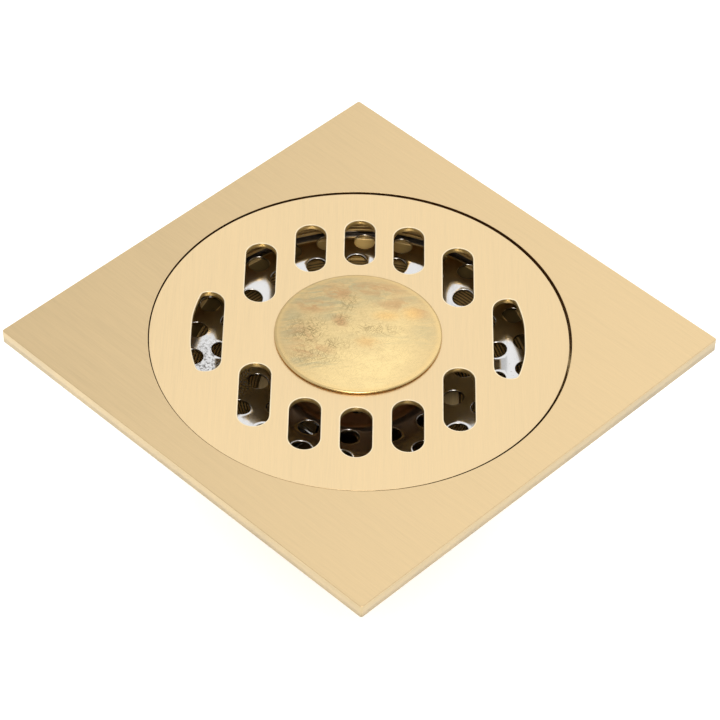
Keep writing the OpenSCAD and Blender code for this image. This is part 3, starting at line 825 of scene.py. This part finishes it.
def strainer_sheet():
    """The perforated dish: a cell of quads round every hole, plain rings between the cells, and the wall."""
    verts, normals, faces = [], [], []
    hole_tops, hole_bottoms, rims, centres = [], [], [], []
    roll, roll_steps = 0.17, 4  # the punched edge is rolled over this far
    per_arc, per_spoke = 8, 8  # points along a cell's arcs and sides
    own = Vector((0, 0, 0))  # lets a point take its own smooth normal
    below = ((0.0, None), (SHEET, own))  # drop and normal of the upper and the lower face
    full = 2 * pi

    def add(x, y, drop=0.0, normal=None):
        """A point below the dish's upper face, with the dish's normal unless another is given."""
        r = hypot(x, y)
        verts.append((*turned(x, y), dish_z(r) - drop))
        if normal is None:
            s = dish_slope(r) / max(r, 1e-6)
            normal = Vector((-x * s, -y * s, 1))
        n = Vector((*turned(normal[0], normal[1]), normal[2]))
        normals.append(n.normalized() if n.length else n)
        return len(verts) - 1

    def ring(r, count, phase, drop=0.0, normal=None):
        return [add(*polar(r, phase + full * k / count), drop, normal) for k in range(count)]

    def join(a, b):
        """Faces between two rings, zipped by angle where their counts differ."""
        if len(a) == len(b):
            faces.extend((a[k - 1], a[k], b[k], b[k - 1]) for k in range(len(a)))
            return
        base = atan2(verts[a[0]][1], verts[a[0]][0])

        def past(i, back=0.0):
            """Angle from the first point of a, in a full turn that starts back before it."""
            return (atan2(verts[i][1], verts[i][0]) - base + back) % full - back

        start = min(range(len(b)), key=lambda k: abs(past(b[k], pi)))
        b = b[start:] + b[:start]
        at_a = [past(i) for i in a[1:]] + [full]
        at_b = [past(i, 0.5) for i in b[1:]] + [full + past(b[0], pi)]
        i = j = 0
        while i < len(a) or j < len(b):
            if j >= len(b) or (i < len(a) and at_a[i] <= at_b[j]):
                faces.append((a[i % len(a)], a[(i + 1) % len(a)], b[j % len(b)]))
                i += 1
            else:
                faces.append((a[i % len(a)], b[(j + 1) % len(b)], b[j % len(b)]))
                j += 1

    def punch(edge, centre, under):
        """Faces from a cell's edge in to its hole, whose upper edge is rolled over."""
        cx, cy = centre
        plan = [rotated(verts[i][0], verts[i][1], pi / 2 - LID_TURN) for i in edge]
        ways = [Vector((x - cx, y - cy)).normalized() for x, y in plan]
        rim = HOLE_R if under else HOLE_R + roll
        rows = [edge]
        for t in (0.35, 0.7, 1.0) if under else (0.35, 0.7):
            rows.append([
                add(x * (1 - t) + (cx + w.x * rim) * t, y * (1 - t) + (cy + w.y * rim) * t, *below[under])
                for (x, y), w in zip(plan, ways)
            ])
        if under:
            hole_bottoms.append(rows[-1])
        else:
            for q in range(roll_steps + 1):
                t = pi / 2 * q / roll_steps
                rho = HOLE_R + roll * (1 - sin(t))
                drop = roll * 0.9 * (1 - cos(t))
                rows.append([
                    add(cx + w.x * rho, cy + w.y * rho, drop, Vector((*(w * -sin(t)), cos(t))))
                    for w in ways
                ])
            hole_tops.append(rows[-1])
        for a, b in zip(rows, rows[1:]):
            join(a, b)

    for under in (False, True):
        last = ring(1.5, 32, 0, *below[under])
        centres.append(last)
        for r in (2.6, 4.2, 6.2):
            new = ring(r, 48, 0, *below[under])
            join(last, new)
            last = new
        for hole_ring_r, count, first, r_in, r_out in HOLE_RINGS:
            phase = radians(first) - pi / count
            total = count * per_arc
            inner = ring(r_in, total, phase, *below[under])
            join(last, inner)
            outer = ring(r_out, total, phase, *below[under])
            radii = [r_in + (r_out - r_in) * q / per_spoke for q in range(1, per_spoke)]
            spokes = [
                [add(*polar(r, phase + full * c / count), *below[under]) for r in radii] for c in range(count)
            ]
            for c in range(count):
                i0, i1 = c * per_arc, (c + 1) * per_arc
                edge = [inner[i % total] for i in range(i0, i1 + 1)] + spokes[(c + 1) % count]
                edge += [outer[i % total] for i in range(i1, i0 - 1, -1)] + spokes[c][::-1]
                punch(edge, polar(hole_ring_r, phase + full * (c + 0.5) / count), under)
            last = outer
        rims.append(last)
    for a, b in zip(hole_tops, hole_bottoms):
        join(a, b)
    join(*centres)
    # the wall stands on the last ring's points, so phase is still that ring's
    wall_top, wall_r = BED - 1.6, PAN_R + 0.5
    wall = [(PAN_R, BRIM + 0.08), (PAN_R, BRIM + 0.8)]
    # the wall's lower levels take the steel with painted shade, the rest the steel with a painted golden
    # reflection
    painted_shade_levels = len(wall)
    wall += [(PAN_R, wall_top - 0.15), (PAN_R + 0.1, wall_top), (wall_r - 0.1, wall_top)]
    wall += [(wall_r, wall_top - 0.15), (wall_r, BRIM - 0.3), (wall_r - 0.2, BRIM - SHEET)]
    slots = [0] * len(faces)
    last = rims[0]
    for level, (r, z) in enumerate(wall):
        new = ring(r, len(last), phase, BRIM - z, own)
        join(last, new)
        last = new
        slots += [1 if level < painted_shade_levels else 2] * (len(faces) - len(slots))
    join(last, rims[1])
    slots += [2] * (len(faces) - len(slots))
    obj = build("strainer_sheet", verts, faces, [steel, painted_shade_steel, painted_reflection_steel], slots)
    crisp(obj, 40)
    obj.data.normals_split_custom_set_from_vertices(normals)
    return obj


piece(strainer_sheet(), "strainer", "polished_steel", "strainer_pan")

neck_r, knob_r = 2.4, 3.6
knob_z = dish_z(neck_r)
knob_top = knob_z + 2
knob_outline = [
    (0, knob_z), (neck_r, knob_z, 0), (neck_r, knob_z + 1, 0.3), (knob_r, knob_z + 1.3, 0.3),
    (knob_r, knob_top, 0.4), (0, knob_top),
]
knob = spin("strainer_knob_turned", rounded(knob_outline, 0.3), steel, 64)
piece(crisp(knob), "strainer", "polished_steel", "strainer_knob")
rivet_z, shank_r, rivet_head_h = knob_z - SHEET, 1.45, 0.4
rivet_outline = [
    (0, rivet_z - rivet_head_h), (1.6, rivet_z - rivet_head_h, 0.3), (2.3, rivet_z, 0.05),
    (shank_r, rivet_z, 0), (shank_r, knob_z, 0), (0, knob_z),
]
rivet = spin("strainer_rivet_head", rounded(rivet_outline, 0.2), steel, 48)
piece(crisp(rivet), "strainer", "polished_steel", "strainer_rivet")


# ---- Bowl, washer and spigot ----

well_r, boss_r = 36.3, 25.0
seat_z, boss_z = BRIM - SHEET - 0.1, BED - 24.5
floor_out, floor_in = BED - 9, BED - 13
bowl_r, bowl_low = node_size("drain_bowl")[0], BED - 6
ridge_h = 0.26  # half a ridge's height


def bowl_floor(r):
    return floor_in + (floor_out - floor_in) * (r - THROAT_R) / (SEAT_R - THROAT_R)


ridges = []
for k in range(RIDGES * 4):
    r = RIDGES_FROM + RIDGE_STEP * k / 4
    ridges.append((r, bowl_floor(r) - ridge_h * (1 - cos(pi / 2 * k))))
boss_neck = bowl_floor(boss_r)
bowl_rest = [
    (SEAT_R, floor_out, 0), (SEAT_R, seat_z, 0.2), (well_r, seat_z, 0.1), (well_r, LEDGE, 0.2),
    (RECESS_R, LEDGE, 0.1), (RECESS_R, BED, 0), (bowl_r, BED, 0), (bowl_r, bowl_low, 0.6),
    (SEAT_R + 2.2, floor_out - 2.2, 2), (boss_r + 1, boss_neck - 3.2, 1.5), (boss_r, boss_neck - 4.2, 0),
    (boss_r, boss_z, 0.5), (THROAT_R + 0.3, boss_z, 0),
]
bowl_outline = [(THROAT_R, boss_z + 0.3), (THROAT_R, floor_in - 0.2)] + ridges + rounded(bowl_rest, 0.2, 5)
bowl_slots = [0, 0] + [1] * len(ridges) + [2, 2]
bowl_slots += [0] * (len(bowl_outline) - len(bowl_slots))
bowl = spin("bowl_turned", bowl_outline, [bowl_brass, ridge_brass, upper_brass], 192, slots=bowl_slots)
piece(crisp(bowl, 38), "drain", "turned_brass", "drain_bowl")
washer("spigot_washer_ring", "spigot_washer", "drain", "black_rubber", black_rubber, THROAT_R, 0.2)

spigot_r, bore_r, thread_r, shoulder_r = 21.0, 19.0, 20.5, 24.5
shoulder_z, spigot_top = boss_z - 0.6, BED - 16
knurls, knurl_depth = 90, 0.22
spigot_pitch, spigot_thread = 1.0, 0.45  # the thread's pitch and depth
ROWS_PER_TURN = 8  # rows of points along one turn of a thread


def spigot_shape(r, z, a):
    """A straight knurl round the shoulder and a helical thread above it."""
    if r > shoulder_r - 0.05:
        return r - knurl_depth * (0.5 - 0.5 * cos(a * knurls)), z
    if thread_r - 0.01 < r < spigot_r - 0.2 and z > shoulder_z + 0.4:
        return threaded(thread_r, z, a, spigot_pitch, spigot_thread, shoulder_z)
    return r, z


row_step = spigot_pitch / ROWS_PER_TURN
row_count = int((spigot_top - shoulder_z) / row_step) - 2
shoulder_low = shoulder_z - 1.6
spigot_tube = [
    (bore_r, spigot_top - 0.3, 0.2), (bore_r, 0, 0.6), (spigot_r, 0, 0.6), (spigot_r, shoulder_low, 0.3),
]
spigot_outline = (
    rounded(spigot_tube, 0.3)
    + [(shoulder_r - 0.25, shoulder_low), (shoulder_r, shoulder_low + 0.25), (shoulder_r, shoulder_z - 0.25)]
    + [(shoulder_r - 0.25, shoulder_z)]
    + [(thread_r, shoulder_z + 0.05 + row_step * k) for k in range(row_count)]
    + [(thread_r - 0.5, spigot_top), (bore_r + 0.3, spigot_top)]
)
spigot = spin("spigot_turned", spigot_outline, bowl_brass, 360, shape=spigot_shape)
piece(crisp(spigot, 40), "drain", "turned_brass", "outlet_spigot")


# ---- Trap core: gasket, handle and rivets; the body is the CAD's own ----

washer("core_gasket_ring", "core_gasket", "core", "black_rubber", black_rubber, bore_r + 0.1, 0.25)

_, foot_z, handle_top = node_size("core_handle")
handle_x, strap_t, strap_w = 17.8, 1.2, 5.0
leg_x = handle_x - 2.6


def tube(name, rows, material):
    """A tube of quads along rows of points, closed at both ends."""
    n = len(rows[0])
    faces = []
    for low in range(0, n * (len(rows) - 1), n):
        for k in range(n):
            k2 = (k + 1) % n
            faces.append((low + k, low + k2, low + n + k2, low + n + k))
    faces.append(tuple(range(n - 1, -1, -1)))
    faces.append(tuple(range(n * (len(rows) - 1), n * len(rows))))
    return build(name, sum(rows, []), faces, [material])


def bent_strap(name, route, width, thickness, material):
    """A flat strap with rounded edges swept along a route of (x, z) points, across y."""
    section = rectangle(width / 2, thickness / 2, 0.35, 3)
    rows = []
    for i, p in enumerate(route):
        a = Vector(route[max(i - 1, 0)])
        b = Vector(route[min(i + 1, len(route) - 1)])
        d = (b - a).normalized()
        rows.append([(p[0] - d.y * sz, sy, p[1] + d.x * sz) for sy, sz in section])
    return tube(name, rows, material)


# corners of the strap's middle line, and how far from each corner its bend starts
mid_foot, mid_top = foot_z + strap_t / 2, handle_top - strap_t / 2
half_route = [(-handle_x - 2, mid_foot, 0), (-leg_x + 0.35, mid_foot, 1.4), (2.9 - leg_x, mid_top, 1.6)]
full_route = half_route + [(-x, z, before) for x, z, before in half_route[::-1]]
route = []
for i, (x, z, before) in enumerate(full_route):
    if before == 0:
        route.append((x, z))
        continue
    a, q, b = (Vector(full_route[j][:2]) for j in (i - 1, i, i + 1))
    p0, p1 = q + (a - q).normalized() * before, q + (b - q).normalized() * before
    route += [bend(p0, q, p1, t / 6) for t in range(7)]
strap = bent_strap("handle_strap", route, strap_w, strap_t, wire_steel)
piece(crisp(strap, 50), "core", "polished_steel", "core_handle")

_, rivet_low, rivet_high = node_size("handle_rivets")
dome_r, dome_h, pin_r = 2.1, 0.7, 1.35
dome_z = rivet_high - dome_h
dome = [(dome_r * sin(k * pi / 12), dome_z + dome_h * cos(k * pi / 12)) for k in range(7)]
dome[0] = (0, rivet_high)
rivet_outline = dome + [(pin_r, dome_z), (pin_r, rivet_low), (0, rivet_low)]
rivets, second = (
    spin("handle_rivet_heads", rivet_outline, wire_steel, 48, lambda u, v, x=x: (u + x, v))
    for x in (-handle_x, handle_x)
)
mesh = bmesh.new()
mesh.from_mesh(rivets.data)
mesh.from_mesh(second.data)
mesh.to_mesh(rivets.data)
mesh.free()
bpy.data.objects.remove(second)
piece(crisp(rivets), "core", "polished_steel", "handle_rivets")


# ---- Valve ----

stem_r, stem_low, stem_high = node_size("valve_stem")
_, nut_low, nut_high = node_size("stem_nut")
stem_pitch, stem_thread = 0.7, 0.22  # the thread's pitch and depth


def stem_shape(r, z, a):
    """A fine helical thread on the stem's lower end."""
    if r < stem_r - 0.01 or z > nut_high + 1:
        return r, z
    return threaded(r, z, a, stem_pitch, stem_thread)


row_step = stem_pitch / ROWS_PER_TURN
row_count = int((nut_high + 1 - stem_low) / row_step)
stem_outline = [(0, stem_low), (stem_r - 0.35, stem_low)]
stem_outline += [(stem_r, stem_low + 0.35 + row_step * k) for k in range(row_count)]
stem_outline += rounded([(stem_r, nut_high + 1.4, 0), (stem_r, stem_high, 0.4), (0, stem_high)], 0.4)
stem = spin("stem_threaded", stem_outline, wire_steel, 64, shape=stem_shape)
piece(crisp(stem, 45), "valve", "polished_steel", "valve_stem")

stem_hole = stem_r + 0.02
seal_hole = 13.4
washer("spring_cap_disc", "spring_cap", "valve", "polished_steel", wire_steel, stem_hole, 0.3)
washer("valve_disc_turned", "valve_disc", "valve", "turned_brass", core_brass, stem_hole, 0.35)
washer("valve_seal_ring", "valve_seal", "valve", "white_silicone", silicone, seal_hole, 0.35)
washer("stem_washer_ring", "stem_washer", "valve", "polished_steel", wire_steel, stem_hole, 0.12)

flat_r = 3.2  # half the nut's width across flats


def hex_shape(r, z, a):
    """Six flats with chamfered corners."""
    if r < flat_r + 0.01:
        return r, z
    out = flat_r / cos((a + pi / 6) % (pi / 3) - pi / 6)
    cut = 0.55 * (out - flat_r)
    return out, z + cut if z < (nut_low + nut_high) / 2 else z - cut


nut_bore = stem_r + 0.05
nut_outline = [
    (nut_bore, nut_low + 0.2), (nut_bore + 0.2, nut_low), (flat_r - 0.1, nut_low),
    (flat_r + 0.1, nut_low + 0.05), (flat_r + 0.1, nut_high - 0.05), (flat_r - 0.1, nut_high),
    (nut_bore + 0.2, nut_high), (nut_bore, nut_high - 0.2),
]
nut = spin("stem_nut_hex", nut_outline, wire_steel, 96, shape=hex_shape)
piece(crisp(nut, 30), "valve", "polished_steel", "stem_nut")


def spring(name, coil_r, wire_r, z0, z1, turns, material):
    """A smooth helix of round wire with closed ends."""
    steps, sides = 40, 12
    rows = []
    for k in range(turns * steps + 1):
        a = 2 * pi * k / steps
        t = k / (turns * steps)
        # the end turns lie flatter than the middle ones
        z = z0 + (z1 - z0) * (t - 0.08 * sin(2 * pi * t))
        rows.append([(*polar(coil_r + r, a), z + up) for r, up in circle(wire_r, sides)])
    return tube(name, rows, material)


_, spring_low, spring_high = node_size("valve_spring")
wire_r, coil_r, coil_turns = 0.35, 3.2, 6
ends = (spring_low + wire_r, spring_high - wire_r)
coil = spring("spring_wire", coil_r, wire_r, *ends, coil_turns, wire_steel)
piece(coil, "core", "polished_steel", "valve_spring")
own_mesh(coil)


# ---- Camera ----

# direction, tilt, aim point, distance and lens come from the fit to the photograph
az, el, roll = radians(-46.405), radians(45.161), radians(1.6815)
target = Vector((-5.036, -4.962, TOP)) * MM
camera_distance = 0.63942
camera_lens = 163.07
back = Vector((sin(az) * cos(el), -cos(az) * cos(el), sin(el)))
right = (-back).cross(Vector((0, 0, 1))).normalized()
up = right.cross(-back)
cam_x = right * cos(roll) + up * sin(roll)
cam_y = up * cos(roll) - right * sin(roll)
cam_data = bpy.data.cameras.new("camera")
cam_data.sensor_width = 36
cam_data.lens = camera_lens
cam_data.clip_start, cam_data.clip_end = 0.01, 20
camera = bpy.data.objects.new("camera", cam_data)
rotation = Matrix((cam_x, cam_y, back)).transposed()
camera.matrix_world = Matrix.Translation(target + back * camera_distance) @ rotation.to_4x4()
scene.collection.objects.link(camera)
scene.camera = camera


# ---- Floor, light and world ----

floor_mat = Nodes("pale_floor", (0.85, 0.85, 0.85), 0.0, 0.9)
floor_mat.bsdf.inputs["Emission Color"].default_value = (0.9, 0.95, 1, 1)
floor_mat.bsdf.inputs["Emission Strength"].default_value = 0.56
reach, drop = 6000, -0.05
corners = [(x * reach, y * reach, drop) for x, y in ((-1, -1), (1, -1), (1, 1), (-1, 1))]
floor = build("floor", corners, [(0, 1, 2, 3)], [floor_mat.mat])

away = Vector((cos(LID_TURN), sin(LID_TURN), 0))  # from the camera towards the far corner
side = Vector((sin(LID_TURN), -cos(LID_TURN), 0))  # to the right in the picture


def softbox(name, direction, distance, size, power, color=(1, 1, 1)):
    """A rectangular area light that faces the middle of the plate's top."""
    data = bpy.data.lights.new(name, "AREA")
    data.shape = "RECTANGLE"
    data.size, data.size_y = size
    data.energy = power
    data.color = color
    obj = bpy.data.objects.new(name, data)
    d = Vector(direction).normalized()
    spot = Vector((0, 0, TOP * MM)) + d * distance
    obj.matrix_world = Matrix.Translation(spot) @ d.to_track_quat("Z", "Y").to_matrix().to_4x4()
    scene.collection.objects.link(obj)


WARM = (1, 0.93, 0.82)
softbox("softbox_far", away * 0.75 + side * 0.35 + Vector((0, 0, 1.0)), 1.1, (0.9, 0.9), 1.3)
softbox("softbox_near", away * -0.5 + Vector((0, 0, 1.0)), 1.2, (0.8, 0.8), 3.0, WARM)
softbox("softbox_camera", back, 0.9, (0.3, 0.3), 2.2, WARM)

world = bpy.data.worlds.new("studio")
scene.world = world
world.use_nodes = True
nodes, link = world.node_tree.nodes, world.node_tree.links.new
background = nodes["Background"]
direction = nodes.new("ShaderNodeTexCoord").outputs["Generated"]
dot = nodes.new("ShaderNodeVectorMath")
dot.operation = "DOT_PRODUCT"
dot.inputs[1].default_value = -away
link(direction, dot.inputs[0])
ramp = nodes.new("ShaderNodeValToRGB")
ramp.color_ramp.interpolation = "EASE"
ramp.color_ramp.elements[0].position = 0.25
ramp.color_ramp.elements[0].color = (1, 1, 1, 1)
ramp.color_ramp.elements[1].position = 0.75
ramp.color_ramp.elements[1].color = (0.30, 0.29, 0.28, 1)  # the dark side of the studio, behind the camera
link(dot.outputs["Value"], ramp.inputs["Fac"])
link(ramp.outputs["Color"], background.inputs["Color"])
background.inputs["Strength"].default_value = 0.8

view = scene.view_settings
view.view_transform = "Standard"
view.look = "None"
view.exposure = 0
view.gamma = 1
